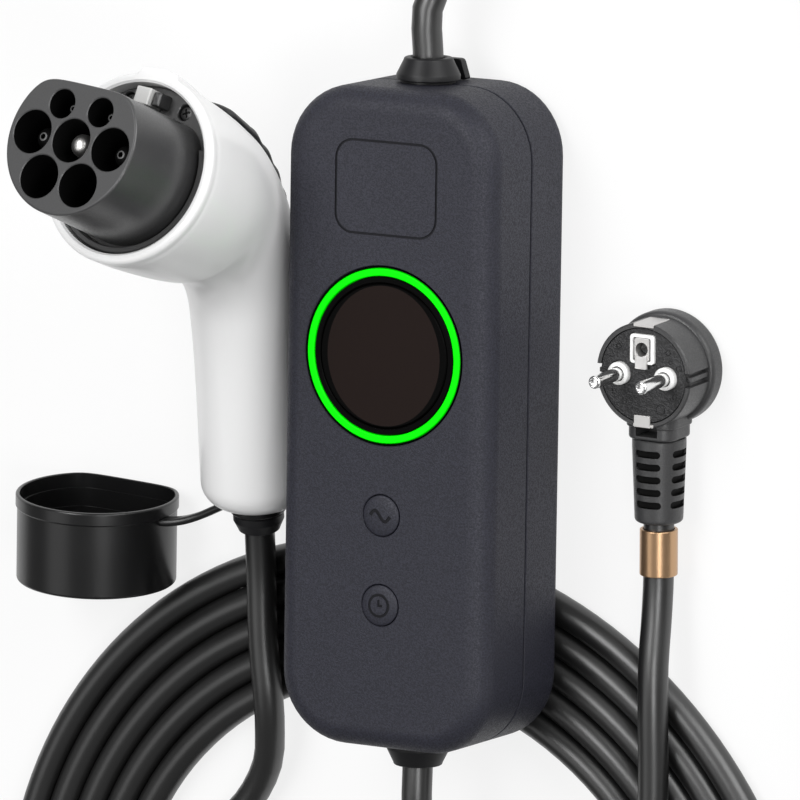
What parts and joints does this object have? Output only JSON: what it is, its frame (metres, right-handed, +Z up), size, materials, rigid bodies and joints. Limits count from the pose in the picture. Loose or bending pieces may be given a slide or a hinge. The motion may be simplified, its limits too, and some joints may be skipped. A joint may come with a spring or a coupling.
{
  "type": "portable ev charger",
  "caption": "Portable charger for electric cars: a control box with a lit round display, a coiled lead to a capped vehicle connector and a short lead to an angled mains plug.",
  "frame": {"origin": "on the surface that the charger lies on, under the middle of the box that holds the control box, the vehicle connector and its cap, without the leads and plug", "axes": "+Z up from the surface, +Y from the control box's lower gland to its upper one, +X to the right as the display is read"},
  "size_m": [0.3601, 0.5636, 0.1556],
  "materials": {
    "slate_grained_plastic": "fine grained matt, slate grey",
    "black_rubber": "smooth, dull sheen",
    "black_gloss_plastic": "polished black",
    "smoked_window": "polished, smoked brown",
    "green_light_guide": "bright green, lit",
    "white_gloss_plastic": "polished white",
    "grey_contact_housing": "matt dark grey",
    "silvered_contact": "silver plated",
    "nickel_pin": "nickel plated",
    "satin_earth_metal": "satin",
    "white_insulator": "soft white",
    "charcoal_plug_plastic": "spark eroded matt, charcoal",
    "black_lead_jacket": "extruded, soft gloss",
    "bronze_band": "burnished bronze",
    "circuit_board": "solder mask",
    "relay_case": "moulded",
    "transformer_tape": "wound tape",
    "terminal_housing": "moulded",
    "screw_steel": "plated"
  },
  "bodies": {
    "charger": {"front_shell": "slate_grained_plastic", "rear_shell": "slate_grained_plastic", "case_seal_left": "black_rubber", "case_seal_right": "black_rubber", "case_screw_1": "screw_steel", "case_screw_2": "screw_steel", "case_screw_3": "screw_steel", "case_screw_4": "screw_steel", "upper_gland": "black_rubber", "lower_gland": "black_rubber", "hanging_lug": "black_rubber", "screen_bezel": "black_gloss_plastic", "light_ring": "green_light_guide", "screen_window": "smoked_window", "display_module": "black_gloss_plastic", "current_key_switch": "black_gloss_plastic", "timer_key_switch": "black_gloss_plastic", "control_board": "circuit_board", "main_board": "circuit_board", "power_relay": "relay_case", "power_supply": "transformer_tape", "fault_current_sensor": "black_gloss_plastic", "input_terminals": "terminal_housing", "output_terminals": "terminal_housing", "gun_shell": "white_gloss_plastic", "contact_housing": "grey_contact_housing", "contact_retainer": "grey_contact_housing", "locking_catch": "satin_earth_metal", "flange_screw_left": "screw_steel", "flange_screw_right": "screw_steel", "earth_contact": "silvered_contact", "line_contact": "silvered_contact", "neutral_contact": "silvered_contact", "pilot_contact": "silvered_contact", "proximity_contact": "silvered_contact", "thumb_pad": "black_rubber", "gun_gland": "black_rubber", "dust_cap": "black_rubber", "plug_body": "charcoal_plug_plastic", "plug_face": "charcoal_plug_plastic", "line_pin": "nickel_pin", "neutral_pin": "nickel_pin", "line_pin_collar": "white_insulator", "neutral_pin_collar": "white_insulator", "earth_frame": "white_insulator", "earth_sleeve": "satin_earth_metal", "upper_earth_clip": "satin_earth_metal", "lower_earth_clip": "satin_earth_metal", "plug_boot": "charcoal_plug_plastic", "plug_lead": "black_lead_jacket", "ev_lead_gun": "black_lead_jacket", "ev_lead_coil": "black_lead_jacket", "ev_lead_box": "black_lead_jacket", "cable_band": "bronze_band"},
    "current_key_body": {"current_key": "slate_grained_plastic"},
    "timer_key_body": {"timer_key": "slate_grained_plastic"}
  },
  "joints": [
    {"name": "current_key_press", "type": "slide", "parent": "charger", "child": "current_key_body", "axis": [0.0014, -0.0649, -0.9979], "range_m": [0, 0.0008], "stiffness_N_per_m": 600},
    {"name": "timer_key_press", "type": "slide", "parent": "charger", "child": "timer_key_body", "axis": [0.0014, -0.0649, -0.9979], "range_m": [0, 0.0008], "stiffness_N_per_m": 600}
  ]
}
